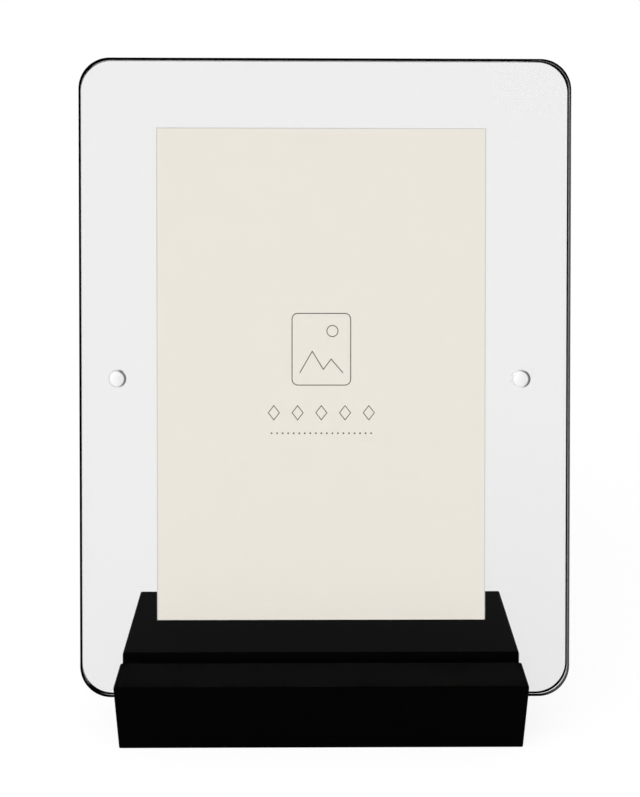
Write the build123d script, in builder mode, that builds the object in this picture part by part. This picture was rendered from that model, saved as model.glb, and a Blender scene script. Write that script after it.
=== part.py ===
from build123d import *
from math import cos, radians, sin, tan
import os

# Table frame: two clear sheets, held together by magnets round a card, stand in the
# leaning slot of a solid block. Millimetres. +X is to the viewer's right, +Y runs to the
# back and +Z is up. The origin is the middle of the block's underside.

# Base block
base_width = 123.0
base_depth = 51.0
base_height = 22.8
base_edge_radius = 0.5

# Leaning slot. Its floor is square to its walls.
lean = 21.5
lip_depth = 11.3
slot_depth = 10.5
slot_mouth_radius = 0.4
slot_play = 0.5
rear_wall_gap = 0.05
cut_overrun = 6.0

# Clear sheets
sheet_width = 150.0
sheet_height = 195.0
sheet_thickness = 2.5
sheet_corner_radius = 9.5
sheet_edge_break = 0.15
sheet_side_shift = 1.2

# The magnets let the rear sheet settle a little higher and to the left.
rear_sheet_rise = 0.2
rear_sheet_side_slip = -0.2

# Card between the sheets
card_width = 101.0
card_height = 151.0
card_thickness = 0.25
card_play = 0.05
card_rise = 1.3

# Disc magnets, glued into blind pockets that are bored from the inner faces
magnet_diameter = 5.2
magnet_thickness = 2.0
magnet_rim_radius = 0.25
magnet_edge_inset = 13.2
magnet_side_shift = -1.6
glue_gap = 0.05

# What follows from them
clamp_gap = card_thickness + card_play
slot_width = 2 * sheet_thickness + clamp_gap + slot_play
pocket_radius = magnet_diameter / 2 + glue_gap
half_pitch = sheet_width / 2 - magnet_edge_inset

# One leaning plane, on the slot's front wall, carries the slot, the sheets and the card.
# Its x runs to the right, its y runs up the slot from the mouth and its normal points at
# the viewer, so what lies behind the wall has a negative offset.
front_wall = Plane(
    origin=(0, lip_depth - base_depth / 2, base_height),
    x_dir=(1, 0, 0),
    z_dir=(0, -cos(radians(lean)), sin(radians(lean))),
)
slot_floor = -slot_depth
rear_sheet_back = rear_wall_gap - slot_width
rear_sheet_inside = rear_sheet_back + sheet_thickness
front_sheet_inside = rear_sheet_inside + clamp_gap

# Places on the leaning plane: middle of each sheet and of the card
front_sheet_middle = (sheet_side_shift, slot_floor + sheet_height / 2)
rear_sheet_middle = (
    front_sheet_middle[0] + rear_sheet_side_slip,
    front_sheet_middle[1] + rear_sheet_rise,
)
card_middle = (0, front_sheet_middle[1] + card_rise)


def magnet_places(sheet_middle):
    """The left and the right magnet of a sheet, on the leaning plane."""
    middle = sheet_middle[0] + magnet_side_shift
    return [(middle - half_pitch, sheet_middle[1]), (middle + half_pitch, sheet_middle[1])]


def clear_sheet(inner_face, middle, outward):
    """A sheet with broken edges and a blind pocket for each magnet in its inner face."""
    with BuildPart() as sheet:
        with BuildSketch(inner_face):
            with Locations(middle):
                RectangleRounded(sheet_width, sheet_height, sheet_corner_radius)
        extrude(amount=outward * sheet_thickness)
        through = Axis(inner_face.origin, inner_face.z_dir)
        outlines = sheet.edges().filter_by(through, reverse=True)
        chamfer(outlines, sheet_edge_break)
        with BuildSketch(inner_face):
            with Locations(*magnet_places(middle)):
                Circle(pocket_radius)
        extrude(amount=outward * magnet_thickness, mode=Mode.SUBTRACT)
    return sheet


def disc_magnet(inner_face, place, outward):
    """A magnet seated in its pocket, ground flush with the inner face, its far rim round."""
    with BuildPart() as magnet:
        with BuildSketch(inner_face):
            with Locations(place):
                Circle(magnet_diameter / 2)
        extrude(amount=outward * magnet_thickness)
        into_sheet = Axis(inner_face.origin, outward * inner_face.z_dir)
        rims = magnet.edges().filter_by(GeomType.CIRCLE).sort_by(into_sheet)
        fillet(rims[-1], magnet_rim_radius)
    return magnet


# Base: a solid block with rounded edges, and a slot that is open at both ends
with BuildPart() as base:
    with BuildSketch(Plane.XY):
        Rectangle(base_width, base_depth)
    extrude(amount=base_height)
    fillet(base.edges(), base_edge_radius)
    with BuildSketch(front_wall):
        mouth_rise = slot_width * tan(radians(lean)) + cut_overrun
        with Locations((0, slot_floor)):
            Rectangle(
                base_width + 2 * cut_overrun,
                slot_depth + mouth_rise,
                align=(Align.CENTER, Align.MIN),
            )
    extrude(amount=-slot_width, mode=Mode.SUBTRACT)
    mouth = base.edges(Select.LAST).filter_by(Axis.X).group_by(Axis.Z)[-1]
    fillet(mouth, slot_mouth_radius)
base.part.label = "base"

# Front sheet and rear sheet. Each lies outward of its inner face, which is towards the
# card: +1 is towards the viewer and -1 towards the back.
front_inner_face = front_wall.offset(front_sheet_inside)
rear_inner_face = front_wall.offset(rear_sheet_inside)
front_sheet = clear_sheet(front_inner_face, front_sheet_middle, 1)
front_sheet.part.label = "front_sheet"
rear_sheet = clear_sheet(rear_inner_face, rear_sheet_middle, -1)
rear_sheet.part.label = "rear_sheet"

# Card, midway in the gap between the sheets
with BuildPart() as photo_card:
    with BuildSketch(front_inner_face.offset(-card_play / 2)):
        with Locations(card_middle):
            Rectangle(card_width, card_height)
    extrude(amount=-card_thickness)
photo_card.part.label = "photo_card"

pieces = [base, front_sheet, rear_sheet, photo_card]

# Magnets: one pair in each sheet, pole to pole across the gap
for side, inner_face, middle, outward in (
    ("front", front_inner_face, front_sheet_middle, 1),
    ("rear", rear_inner_face, rear_sheet_middle, -1),
):
    for hand, place in zip(("left", "right"), magnet_places(middle)):
        magnet = disc_magnet(inner_face, place, outward)
        magnet.part.label = f"{side}_magnet_{hand}"
        pieces.append(magnet)

os.makedirs("parts", exist_ok=True)
for piece in pieces:
    export_step(piece.part, f"parts/{piece.part.label}.step")
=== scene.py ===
# Table photo frame: two clear acrylic sheets, held face to face by disc magnets round a
# card, lean back in the slot of a black block. Metres. +X is to the viewer's right, +Y
# runs to the back and +Z is up. The origin is the middle of the block's underside.
from math import cos, radians, sin, tan

import bpy
from mathutils import Matrix, Vector


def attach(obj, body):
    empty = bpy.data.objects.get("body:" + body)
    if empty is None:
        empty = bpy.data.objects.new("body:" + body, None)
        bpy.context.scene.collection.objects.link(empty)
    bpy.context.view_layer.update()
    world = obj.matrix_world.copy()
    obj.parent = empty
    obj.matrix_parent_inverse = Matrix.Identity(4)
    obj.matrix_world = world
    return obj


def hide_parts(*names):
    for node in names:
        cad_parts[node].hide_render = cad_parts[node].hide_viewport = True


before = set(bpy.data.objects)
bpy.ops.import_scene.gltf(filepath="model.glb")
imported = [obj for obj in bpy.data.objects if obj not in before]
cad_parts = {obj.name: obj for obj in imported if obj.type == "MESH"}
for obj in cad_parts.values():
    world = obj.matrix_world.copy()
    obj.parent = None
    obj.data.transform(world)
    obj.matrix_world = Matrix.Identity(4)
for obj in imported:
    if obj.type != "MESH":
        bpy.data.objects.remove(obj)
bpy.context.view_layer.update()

# Camera. It stands a little left of the middle, above the frame, and looks down at it
# almost square to the leaning sheets. Place, turn and focal length come from a fit to the
# corners of the block, the sheets and the card.
camera_place = (-0.003016, -0.251356, 0.207478)
camera_down, camera_right, camera_roll = radians(22.274), radians(0.554), radians(-0.217)
lens_mm, sensor_mm = 42.717, 36
nearest, farthest = 0.01, 100

bpy.ops.object.camera_add(location=camera_place)
camera = bpy.context.object
camera.name = "camera"
forward = Vector(
    (
        sin(camera_right) * cos(camera_down),
        cos(camera_right) * cos(camera_down),
        -sin(camera_down),
    )
)
level = forward.cross(Vector((0, 0, 1))).normalized()
upright = level.cross(forward)
turned = Matrix.Rotation(camera_roll, 3, forward)
camera.rotation_mode = "QUATERNION"
camera.rotation_quaternion = Matrix(
    (turned @ level, turned @ upright, -forward)
).transposed().to_quaternion()
camera.data.sensor_width, camera.data.lens = sensor_mm, lens_mm
camera.data.clip_start, camera.data.clip_end = nearest, farthest
bpy.context.scene.camera = camera


# Block. One solid black piece, machined, with its edges rounded and rubbed satin. The
# leaning slot for the sheets is cut through from end to end, square to its own floor.
block_width, block_depth, block_height = 0.123, 0.051, 0.0228
block_edge_radius, block_edge_steps = 0.0005, 8
lean = radians(21.5)
lip_depth, slot_depth, slot_width, cut_overrun = 0.0113, 0.0105, 0.0058, 0.006
mouth_radius, mouth_steps = 0.0004, 4
smooth_below = radians(30)
block_black, block_worn = 0.0003, 0.0007
satin, satin_spread = 0.32, 0.12
grain_scale, rub_scale, rub_stretch = 2600, 900, (8, 1, 1)
grain_height = 0.00003
# The slot's front wall, from the slot's mouth: x to the right, y to the back and z up
slot_wall = Matrix.Translation(
    (0, lip_depth - block_depth / 2, block_height)
) @ Matrix.Rotation(-lean, 4, "X")


def settled(piece, place=Matrix.Identity(4)):
    """Puts a piece in its place, held by its mesh, with its object at the origin."""
    bpy.context.view_layer.update()
    piece.matrix_world = place @ piece.matrix_world
    bpy.ops.object.select_all(action="DESELECT")
    piece.select_set(True)
    bpy.context.view_layer.objects.active = piece
    bpy.ops.object.transform_apply(location=True, rotation=True, scale=True)
    return piece


def pick(piece, kind, wanted):
    """Selects the faces or edges that pass a test on themselves, in edit mode."""
    bpy.ops.object.mode_set(mode="EDIT")
    bpy.ops.mesh.select_all(action="DESELECT")
    bpy.ops.mesh.select_mode(type=kind)
    bpy.ops.object.mode_set(mode="OBJECT")
    mesh = piece.data
    for part in mesh.polygons if kind == "FACE" else mesh.edges:
        part.select = wanted(part)
    bpy.ops.object.mode_set(mode="EDIT")


def ends(piece, edge):
    """The places of an edge's two ends."""
    return [piece.data.vertices[i].co for i in edge.vertices]


def cut(piece, tool):
    """Cuts a tool's shape out of a piece and removes the tool."""
    bpy.context.view_layer.objects.active = piece
    boolean = piece.modifiers.new("cut", "BOOLEAN")
    boolean.operation, boolean.solver, boolean.object = "DIFFERENCE", "EXACT", tool
    bpy.ops.object.modifier_apply(modifier=boolean.name)
    bpy.data.objects.remove(tool)


class Wire:
    """A node's output. Sums on it add Math nodes to its finish."""

    def __init__(self, finish, socket):
        self.finish, self.socket = finish, socket

    def math(self, operation, *values):
        return self.finish.node("Math", {"operation": operation}, dict(enumerate(values)))

    def __add__(self, other):
        return self.math("ADD", self, other)

    __radd__ = __add__

    def __sub__(self, other):
        return self.math("SUBTRACT", self, other)

    def __rsub__(self, other):
        return self.math("SUBTRACT", other, self)

    def __mul__(self, other):
        return self.math("MULTIPLY", self, other)

    __rmul__ = __mul__

    def __truediv__(self, other):
        return self.math("DIVIDE", self, other)

    def __pow__(self, other):
        return self.math("POWER", self, other)

    def __abs__(self):
        return self.math("ABSOLUTE", self)

    def least(self, other):
        return self.math("MINIMUM", self, other)

    def most(self, other):
        return self.math("MAXIMUM", self, other)

    def clamped(self):
        """Kept between 0 and 1."""
        return self.most(0).least(1)


class Finish:
    """A finish and its nodes."""

    def __init__(self, name):
        self.material = bpy.data.materials.new(name)
        self.material.use_nodes = True
        self.tree = self.material.node_tree
        self.shader = self.tree.nodes["Principled BSDF"]

    def node(self, kind, settings={}, values={}, output=0):
        """Adds a node: its settings first, then the values or links of its sockets."""
        made = self.tree.nodes.new("ShaderNode" + kind)
        for name, value in settings.items():
            setattr(made, name, value)
        self.fill(made, values)
        return Wire(self, made.outputs[output])

    def fill(self, node, values):
        """Gives a node's sockets their values or links."""
        for name, value in values.items():
            if isinstance(value, Wire):
                self.tree.links.new(value.socket, node.inputs[name])
            else:
                node.inputs[name].default_value = value

    def surface(self, **values):
        """Sets the shader's own sockets, named with _ for a space."""
        self.fill(self.shader, {name.replace("_", " "): v for name, v in values.items()})

    def place(self, turn=(0, 0, 0), centre=(0, 0, 0), scale=(1, 1, 1)):
        """Object coordinates, turned and centred for a pattern."""
        here = self.node("TexCoord", {}, {}, "Object")
        return self.node(
            "Mapping",
            {"vector_type": "TEXTURE"},
            {"Vector": here, "Location": centre, "Rotation": turn, "Scale": scale},
        )

    def along(self, place, axis):
        """One coordinate of a place."""
        return self.node("SeparateXYZ", {}, {"Vector": place}, axis)

    def noise(self, place, scale, detail):
        """Fine marks at a place, from 0 to 1."""
        values = {"Vector": place, "Scale": scale, "Detail": detail}
        return self.node("TexNoise", {}, values)

    def bump(self, height, strength, distance):
        """The normal of a surface with this height."""
        values = {"Strength": strength, "Distance": distance, "Height": height}
        return self.node("Bump", {}, values)

    def colour(self, share, low, high):
        """From one colour to another, by a share that varies over the surface."""
        low, high = (c if isinstance(c, Wire) else (*c, 1) for c in (low, high))
        return self.node("Mix", {"data_type": "RGBA"}, {0: share, 6: low, 7: high}, 2)


def grey(tone):
    """The grey of a tone."""
    return (tone, tone, tone)


bpy.ops.object.select_all(action="DESELECT")
bpy.ops.mesh.primitive_cube_add(size=1, location=(0, 0, block_height / 2))
block = bpy.context.object
block.name = "black_block"
block.scale = (block_width, block_depth, block_height)
settled(block)
bpy.ops.object.mode_set(mode="EDIT")
bpy.ops.mesh.select_all(action="SELECT")
bpy.ops.mesh.bevel(
    offset=block_edge_radius, segments=block_edge_steps, profile=0.5, affect="EDGES"
)
bpy.ops.object.mode_set(mode="OBJECT")
mouth_rise = slot_width * tan(lean) + cut_overrun
bpy.ops.mesh.primitive_cube_add(
    size=1, location=(0, slot_width / 2, (mouth_rise - slot_depth) / 2)
)
cutter = bpy.context.object
cutter.scale = (block_width + 2 * cut_overrun, slot_width, mouth_rise + slot_depth)
cut(block, settled(cutter, slot_wall))


def on_mouth(edge):
    """True for the slot's two upper edges, which run across the block's top."""
    a, b = ends(block, edge)
    along = abs((a - b).x) > block_width - 4 * block_edge_radius
    high = min(a.z, b.z) > block_height - block_edge_radius / 4
    inside = abs(a.y) < block_depth / 2 - 2 * block_edge_radius
    return along and high and inside


pick(block, "EDGE", on_mouth)
bpy.ops.mesh.bevel(offset=mouth_radius, segments=mouth_steps, profile=0.5, affect="EDGES")
bpy.ops.object.mode_set(mode="OBJECT")
bpy.ops.object.shade_smooth_by_angle(angle=smooth_below)

satin_black = Finish("satin_black")
grain = satin_black.noise(satin_black.place(), grain_scale, detail=3)
rub = satin_black.noise(satin_black.place(scale=rub_stretch), rub_scale, detail=4)
satin_black.surface(
    Base_Color=satin_black.colour(grain, grey(block_black), grey(block_worn)),
    Roughness=satin + rub * satin_spread,
    Specular_IOR_Level=0.05,
    Normal=satin_black.bump(grain + rub, strength=0.08, distance=grain_height),
)
block.data.materials.append(satin_black.material)
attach(block, "block")
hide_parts("base")


# Sheets. Two panes of clear cast acrylic with rounded corners and faintly broken edges. A
# flat-bottomed pocket for each magnet is bored from the inner face. The rims carry a
# painted reflection: seen from the front they are painted black, but grey down the front
# one's right side and pale along the rear one's top and left.
sheet_width, sheet_height, sheet_thickness = 0.150, 0.195, 0.0025
corner_radius, corner_steps = 0.0095, 32
# The second is the width of a strip along each inner face's edge that carries the rims'
# painted reflection
edge_break, reflection_strip = 0.00015, 0.00013
side_shift, rear_slip, rear_rise = 0.0012, -0.0002, 0.0002
rear_wall_gap, clamp_gap = 0.00005, 0.0003
pocket_radius, pocket_depth, round_steps = 0.00265, 0.002, 96
half_pitch, magnet_shift = 0.0618, -0.0016
# Middle of each sheet on the slot's front wall, and the depth of its inner face
middle_height = sheet_height / 2 - slot_depth
sheets = {
    "front": (side_shift, middle_height),
    "rear": (side_shift + rear_slip, middle_height + rear_rise),
}
inner_depth = {
    "rear": slot_width - rear_wall_gap - sheet_thickness,
    "front": slot_width - rear_wall_gap - sheet_thickness - clamp_gap,
}
outward = {"front": -1, "rear": 1}
square_on = (radians(90), 0, 0)
leaning = (-lean, 0, 0)
# Any face of at least this area is one of a sheet's two flat faces
flat_face_area = 0.01

acrylic_clearness, acrylic_ior, light_passed = 0.991, 1.49, 0.96
# The rims' painted reflection: its dark and pale tones seen through the sheet, and the
# rims' painted dark grey from outside
within_tones = {"front": (0.003, 0.16), "rear": (0.002, 0.62)}
outside_reflection_dark, outside_reflection_pale = 0.045, 0.095
saw_scale, saw_least, saw_spread = 700, 0.7, 0.6
# How much way a sharp change of tone takes
crisp = 0.00002
# Where the front rim's painted reflection is grey inside: down the right, below grey_top,
# and, as a painted highlight, on the inner edge at the upper right corner
grey_from, grey_fade, grey_most = 0.066, 0.008, 0.6
grey_top, grey_top_fade = 0.085, 0.010
corner_across, corner_up, corner_fade = 0.062, 0.080, 0.004
# Where the rear rim's painted reflection is pale inside: along the top and the left, but
# not at the far right
pale_from, pale_fade = 0.0945, 0.002
pale_end, pale_end_fade = 0.0655, 0.006

clear_acrylic = Finish("clear_acrylic")
clear_acrylic.surface(
    Base_Color=(*grey(acrylic_clearness), 1),
    Roughness=0.0,
    IOR=acrylic_ior,
    Transmission_Weight=1.0,
)
# Light that falls on what stands behind a sheet goes straight through the sheet
falling = clear_acrylic.node("LightPath", {}, {}, "Is Shadow Ray").most(
    clear_acrylic.node("LightPath", {}, {}, "Is Diffuse Ray")
)
passed = clear_acrylic.node("BsdfTransparent", {}, {"Color": (*grey(light_passed), 1)})
bent = Wire(clear_acrylic, clear_acrylic.shader.outputs[0])
clear_acrylic.fill(
    clear_acrylic.tree.nodes["Material Output"],
    {"Surface": clear_acrylic.node("MixShader", {}, {0: falling, 1: bent, 2: passed})},
)


def disc(side, way, radius, length, depth):
    """A round blank where a sheet's left (-1) or right (1) magnet goes, at a depth."""
    across, up = sheets[side]
    bpy.ops.object.select_all(action="DESELECT")
    bpy.ops.mesh.primitive_cylinder_add(
        vertices=round_steps,
        radius=radius,
        depth=length,
        location=(across + magnet_shift + way * half_pitch, depth, up),
        rotation=square_on,
    )
    return settled(bpy.context.object)


for side, (x, z) in sheets.items():
    bpy.ops.object.select_all(action="DESELECT")
    bpy.ops.mesh.primitive_plane_add(size=1, rotation=square_on)
    sheet = bpy.context.object
    sheet.name = f"clear_{side}_sheet"
    sheet.scale = (sheet_width, sheet_height, 1)
    sheet.location = (x, inner_depth[side], z)
    settled(sheet)
    bpy.ops.object.mode_set(mode="EDIT")
    bpy.ops.mesh.select_all(action="SELECT")
    bpy.ops.mesh.bevel(
        offset=corner_radius, segments=corner_steps, profile=0.5, affect="VERTICES"
    )
    bpy.ops.mesh.select_all(action="SELECT")
    thickness = outward[side] * sheet_thickness
    bpy.ops.mesh.extrude_region_move(TRANSFORM_OT_translate={"value": (0, thickness, 0)})
    bpy.ops.mesh.select_all(action="SELECT")
    bpy.ops.mesh.normals_make_consistent(inside=False)
    bpy.ops.object.mode_set(mode="OBJECT")

    def on_outline(edge):
        a, b = ends(sheet, edge)
        return abs((a - b).y) < sheet_thickness / 2

    def on_inner_face(face):
        return face.area > flat_face_area and face.normal.y * outward[side] < 0

    pick(sheet, "EDGE", on_outline)
    bpy.ops.mesh.bevel(offset=edge_break, segments=1, affect="EDGES")
    # The strip inset along each inner face's edge takes the rim's finish, as a painted
    # reflection that widens the dark rim
    pick(sheet, "FACE", on_inner_face)
    bpy.ops.mesh.inset(thickness=reflection_strip)
    bpy.ops.object.mode_set(mode="OBJECT")
    sheet.data.materials.append(clear_acrylic.material)

    rim = Finish(f"sawn_{side}_rim")
    middle = slot_wall @ Vector((x, inner_depth[side], z))
    on_sheet = rim.place(turn=leaning, centre=middle)
    across, up, depth = (rim.along(on_sheet, axis) for axis in "XZY")
    saw_marks = rim.noise(on_sheet, saw_scale, detail=2)
    if side == "front":
        paler = ((across - grey_from) / grey_fade).least((grey_top - up) / grey_top_fade)
        # Painted highlight: a paler glint on the front rim's inner edge break at the upper
        # right corner
        corner = ((across - corner_across) / corner_fade).least(
            (up - corner_up) / corner_fade
        )
        paler = paler.least(grey_most).most(corner.least((depth + edge_break) / crisp))
    else:
        # How far out a place is, towards the top or the left side, whichever is nearer
        outer = ((sheet_height - sheet_width) / 2 - across).most(up)
        paler = (outer - pale_from) / pale_fade
        paler = paler.least((pale_end - across) / pale_end_fade)
    dark, pale = within_tones[side]
    paler = paler.clamped() * (saw_least + saw_marks * saw_spread)
    # Painted reflection seen through the sheet: the rim's dark tone, paler where the masks
    # above say
    within = rim.colour(paler, grey(dark), grey(pale))
    # From outside, the flat of the rim is an even dark grey, a painted reflection with saw
    # marks
    off_middle = abs(abs(depth) - sheet_thickness / 2)
    flat = ((sheet_thickness / 2 - edge_break - off_middle) / crisp).clamped()
    outside = flat * (1 - rim.node("NewGeometry", {}, {}, "Backfacing"))
    sawn_and_reflection = rim.colour(saw_marks, grey(outside_reflection_dark), grey(outside_reflection_pale))
    rim.surface(
        Base_Color=rim.colour(outside, within, sawn_and_reflection),
        Roughness=0.6,
        Specular_IOR_Level=0.0,
    )
    sheet.data.materials.append(rim.material)
    for face in sheet.data.polygons:
        face.material_index = int(face.area < flat_face_area)

    for way in (-1, 1):
        borer = disc(side, way, pocket_radius, 2 * pocket_depth, inner_depth[side])
        borer.data.materials.append(clear_acrylic.material)
        cut(sheet, borer)
    settled(sheet, slot_wall)
    bpy.ops.object.shade_smooth_by_angle(angle=smooth_below)
    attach(sheet, f"{side}_pane")
    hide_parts(f"{side}_sheet")


# Magnets. Nickel-plated discs with tumbled rims and very slightly crowned faces, glued
# into the pockets of both sheets, pole to pole. They are a little thinner than the pockets
# are deep, which leaves room for the glue.
magnet_radius, magnet_thickness = 0.0026, 0.00198
magnet_rim_radius, magnet_rim_steps = 0.00025, 10
# The last is the grey of the painted shade on each disc
plate_dull, plate_bright, crescent_shade_grey = 0.82, 1.0, 0.25
polish, polish_spread = 0.3, 0.1
crown_height = 0.00035
tumble_scale, tumble_least, tumble_spread, tumble_height = 1500, 0.8, 0.2, 0.02
# The painted shade's crescent: its round inner edge, and the direction of its middle
crescent_edge_across, crescent_edge_up, crescent_edge_radius, crescent_edge_fade = 0.00036, 0.00010, 0.00218, 0.00018
crescent_across, crescent_up = 0.985, 0.174
crescent_from, crescent_fade = 0.25, 0.80
# How much painted shade darkens a rear disc where it shows past the front one, and how
# sharply that begins
rear_shade, rear_fade = 0.85, 0.00005

nickel = Finish("nickel_plate")
centre = slot_wall @ Vector((side_shift + magnet_shift, 0, middle_height))
on_pair = nickel.place(turn=leaning, centre=centre)
across, up = (nickel.along(on_pair, axis) for axis in "XZ")
across = (abs(across) - half_pitch) * across.math("SIGN", across)
from_middle = across * across + up * up
crown = 1 - from_middle / magnet_radius**2
tumble = nickel.noise(on_pair, tumble_scale, detail=2)
# Painted shade: a grey crescent at the right of each bright disc, where its edge turns
# from the light
to_right = (across * crescent_across + up * crescent_up) / from_middle**0.5
shade_crescent = ((across + crescent_edge_across) ** 2 + (up + crescent_edge_up) ** 2) ** 0.5
shade_crescent = ((shade_crescent - crescent_edge_radius) / crescent_edge_fade).clamped()
shade_crescent = shade_crescent * ((to_right + crescent_from) / crescent_fade).clamped()
# What shows of the rear discs past the front ones is painted darker, as painted shade
past_front = ((from_middle**0.5 - magnet_radius) / rear_fade).clamped()
bright = (tumble * tumble_spread + tumble_least) * (1 - past_front * rear_shade)
plate = nickel.colour(bright, grey(plate_dull), grey(plate_bright))
nickel.surface(
    Base_Color=nickel.colour(shade_crescent, plate, grey(crescent_shade_grey)),
    Metallic=0.04,
    Roughness=polish + tumble * polish_spread,
    Normal=nickel.bump(
        crown + tumble * tumble_height, strength=1.0, distance=crown_height
    ),
)

for side in sheets:
    for hand, way in (("left", -1), ("right", 1)):
        outer = inner_depth[side] + outward[side] * magnet_thickness
        middle = (inner_depth[side] + outer) / 2
        magnet = disc(side, way, magnet_radius, magnet_thickness, middle)
        magnet.name = f"nickel_{side}_disc_{hand}"

        def on_outer_rim(edge):
            a, b = ends(magnet, edge)
            return max(abs(a.y - outer), abs(b.y - outer)) < magnet_thickness / 2

        pick(magnet, "EDGE", on_outer_rim)
        bpy.ops.mesh.bevel(
            offset=magnet_rim_radius,
            segments=magnet_rim_steps,
            profile=0.5,
            affect="EDGES",
        )
        bpy.ops.object.mode_set(mode="OBJECT")
        settled(magnet, slot_wall)
        bpy.ops.object.shade_smooth_by_angle(angle=smooth_below)
        magnet.data.materials.append(nickel.material)
        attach(magnet, f"{side}_pane")
        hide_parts(f"{side}_magnet_{hand}")


# Card. Uncoated cream card, cut to a standard print size. It keeps the solid's shape, and
# bears a plain printed picture sign, a row of lozenges and a dotted rule.
card_width, card_height, card_rise = 0.101, 0.151, 0.0013
cream_low, cream_high = (0.85, 0.808, 0.727), (0.88, 0.838, 0.763)
# The first two are the grey and the width of the painted shade along the card's sides and
# top
edge_shade_grey, edge_shade_width = (0.62, 0.60, 0.57), 0.0003
ink_brown, ink_blur, fibre_scale = (0.11, 0.09, 0.07), 0.00004, 1800
# Half widths of the printed lines
border_line, sun_line, hill_line, lozenge_line = 0.00017, 0.00016, 0.00016, 0.00015
# The print, measured from the middle of the card
sign_rise, sign_corner = 0.0078, 0.0018
sign_half_width, sign_half_height = 0.0090, 0.0110
sun_across, sun_up, sun_radius = 0.0034, 0.0134, 0.0017
hills = (
    (-0.0066, 0.0006),
    (-0.0028, 0.0072),
    (0.0006, 0.0016),
    (0.0030, 0.0048),
    (0.0066, 0.0006),
)
lozenge_pitch, lozenge_half_width, lozenge_half_height = 0.0073, 0.0017, 0.0022
lozenge_drop, lozenges_end = 0.0117, 0.0180
# Distance from a lozenge's middle to its sides
lozenge_side = 0.00134
dot_pitch, dot_radius, dot_drop, dots_end = 0.0017, 0.0003, 0.0180, 0.0162

card_centre = slot_wall @ Vector(
    (0, inner_depth["front"] + clamp_gap / 2, middle_height + card_rise)
)
cream = Finish("cream_card")
on_card = cream.place(turn=leaning, centre=card_centre)
fibres = cream.noise(on_card, fibre_scale, detail=4)
across, up, depth = (cream.along(on_card, axis) for axis in "XZY")


def line(distance, half_width):
    """Ink where a distance is within a line's half width."""
    return ((half_width - distance) / ink_blur).clamped()


def stroke(start, end, half_width):
    """A straight line of ink with round ends."""
    along, rise = end[0] - start[0], end[1] - start[1]
    u, v = across - start[0], up - start[1]
    share = ((u * along + v * rise) / (along**2 + rise**2)).clamped()
    return line(((u - share * along) ** 2 + (v - share * rise) ** 2) ** 0.5, half_width)


def folded(pitch):
    """Distance across to the nearest of the marks that stand a pitch apart."""
    share = across / pitch
    return abs(share - share.math("ROUND", share)) * pitch


def in_row(half_length):
    """1 as far as half a row's length from the middle, and 0 past it."""
    return across.math("LESS_THAN", abs(across), half_length)


# The picture sign: a rounded border, a sun and hills
u = (abs(across) - (sign_half_width - sign_corner)).most(0)
v = (abs(up - sign_rise) - (sign_half_height - sign_corner)).most(0)
ink = line(abs((u * u + v * v) ** 0.5 - sign_corner), border_line)
sun = ((across - sun_across) ** 2 + (up - sun_up) ** 2) ** 0.5
ink = ink.most(line(abs(sun - sun_radius), sun_line))
for start, end in zip(hills, hills[1:]):
    ink = ink.most(stroke(start, end, hill_line))
# A row of five lozenges, and a dotted rule under it
u = folded(lozenge_pitch) / lozenge_half_width
v = abs(up + lozenge_drop) / lozenge_half_height
lozenges = line(abs(u + v - 1) * lozenge_side, lozenge_line)
ink = ink.most(lozenges * in_row(lozenges_end))
dots = (folded(dot_pitch) ** 2 + (up + dot_drop) ** 2) ** 0.5
ink = ink.most(line(dots, dot_radius) * in_row(dots_end))
# Painted shade: the card's sides and top are painted a little darker along their edges
edge_shade = line(card_width / 2 - abs(across), edge_shade_width).most(
    line(card_height / 2 - up, edge_shade_width)
)
paper = cream.colour(fibres, cream_low, cream_high)
shaded = cream.colour(edge_shade, paper, edge_shade_grey)
# The print is on the front alone
ink = ink * depth.math("LESS_THAN", depth, 0)
cream.surface(
    Base_Color=cream.colour(ink, shaded, ink_brown),
    Roughness=0.75,
    Specular_IOR_Level=0.2,
)
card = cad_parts["photo_card"]
card.data.materials.clear()
card.data.materials.append(cream.material)


# Studio. A plain pale floor and soft light from all round, most of it from the upper left.
# Behind the frame everything is white; what the sheets mirror in front is dark.
floor_radius, floor_steps = 20, 96
floor_unseen, floor_seen, floor_glow = 0.8, 0.15, 0.87
floor_mirrored, floor_fade = 0.99, 0.1
# Light from all round, from the key's side and from above: how strong, and how narrow
all_round, key_light, key_focus, top_light, top_focus = 0.10, 4.0, 6, 1.35, 3
key_side, top_side = Vector((-0.75, -0.60, 0.25)), Vector((0, -0.2, 1))
# What is mirrored: nearly black from in front, and grey from behind
front_dark, back_grey, back_from, back_slope = 0.996, 0.596, 0.4, 4

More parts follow.
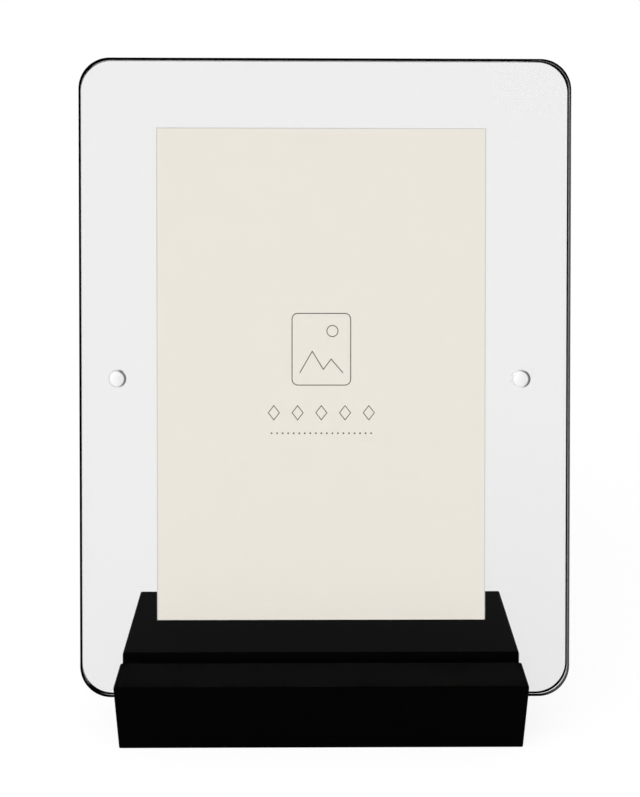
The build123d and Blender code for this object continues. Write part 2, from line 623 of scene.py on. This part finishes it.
bpy.ops.object.select_all(action="DESELECT")
bpy.ops.mesh.primitive_circle_add(
    vertices=floor_steps, radius=floor_radius, fill_type="NGON"
)
floor = bpy.context.object
floor.name = "floor"


def seen_by(finish):
    """1 for what the camera sees straight, mirrored or through a sheet, and else 0."""
    straight, mirrored, through = (
        finish.node("LightPath", {}, {}, f"Is {kind} Ray")
        for kind in ("Camera", "Glossy", "Transmission")
    )
    scattered = finish.node("LightPath", {}, {}, "Diffuse Depth").least(1)
    return straight.most(mirrored).most(through) * (1 - scattered)


floor_paper = Finish("floor_paper")
seen = seen_by(floor_paper)
behind = (floor_paper.along(floor_paper.place(), "Y") / floor_fade).clamped()
mirrored = floor_paper.node("LightPath", {}, {}, "Glossy Depth").least(1)
white = 1 - mirrored * (1 - behind) * floor_mirrored
floor_paper.surface(
    Base_Color=floor_paper.colour(seen, grey(floor_unseen), grey(floor_seen)),
    Roughness=1.0,
    Specular_IOR_Level=0.0,
    Emission_Color=floor_paper.colour(seen * white, grey(0), grey(floor_glow)),
    Emission_Strength=1.0,
)
floor.data.materials.append(floor_paper.material)

world = bpy.data.worlds.new("studio")
bpy.context.scene.world = world
world.use_nodes = True


class Light(Finish):
    """The nodes of the studio's light."""

    def __init__(self):
        self.tree = world.node_tree
        self.shader = self.tree.nodes["Background"]
        self.toward = self.node("TexCoord", {}, {}, "Generated")

    def facing(self, side):
        """How far a direction faces a side: 1 straight at it, and 0 across it or away."""
        both = {0: self.toward, 1: side.normalized()}
        return self.node("VectorMath", {"operation": "DOT_PRODUCT"}, both, "Value").most(0)


light = Light()
key = light.facing(key_side) ** key_focus * key_light
top = light.facing(top_side) ** top_focus * top_light
studio = all_round + key + top
seen = seen_by(light)
mirrored = light.node("LightPath", {}, {}, "Glossy Depth").least(1)
back = (light.along(light.toward, "Y") * back_slope - back_from).clamped()
backdrop = 1 - mirrored * (front_dark - back * back_grey)
light.fill(
    light.shader,
    {"Color": (*grey(1), 1), "Strength": studio * (1 - seen) + seen * backdrop},
)

bpy.context.scene.view_settings.view_transform = "Standard"
